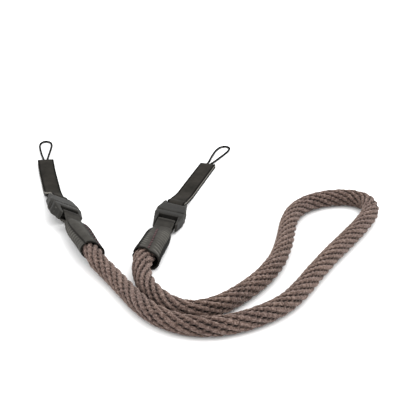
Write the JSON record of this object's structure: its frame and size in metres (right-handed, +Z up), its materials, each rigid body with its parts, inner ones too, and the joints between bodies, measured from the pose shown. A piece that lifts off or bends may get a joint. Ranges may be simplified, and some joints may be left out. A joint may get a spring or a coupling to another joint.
{
  "type": "camera neck strap",
  "caption": "Neck strap of thick braided rope with leather sleeves, side-release buckles, leather tabs and thin cord loops, laid on a surface.",
  "frame": {"origin": "on the surface that the strap lies on, under the middle of its box without the thin cord loops", "axes": "+Z up, +Y from the rope's bottom bend towards the tabs, +X from the tabs' side towards the rope's far bend"},
  "size_m": [0.2081, 0.2515, 0.0136],
  "materials": {
    "rope": "round braided cotton, warm grey brown",
    "sleeve_leather": "dark grey ribbed leather with muted maroon stitches",
    "buckle_plastic": "dark grey moulded plastic, satin",
    "tab_leather": "black smooth leather with burnished edges",
    "loop_cord": "thin black braided cord"
  },
  "bodies": {
    "root": {"rope": "rope", "sleeve_left": "sleeve_leather", "buckle_plug_left": "buckle_plastic", "buckle_socket_left": "buckle_plastic", "tab_left": "tab_leather", "cord_loop_left": "loop_cord", "sleeve_right": "sleeve_leather", "buckle_plug_right": "buckle_plastic", "buckle_socket_right": "buckle_plastic", "tab_right": "tab_leather", "cord_loop_right": "loop_cord"}
  },
  "joints": []
}
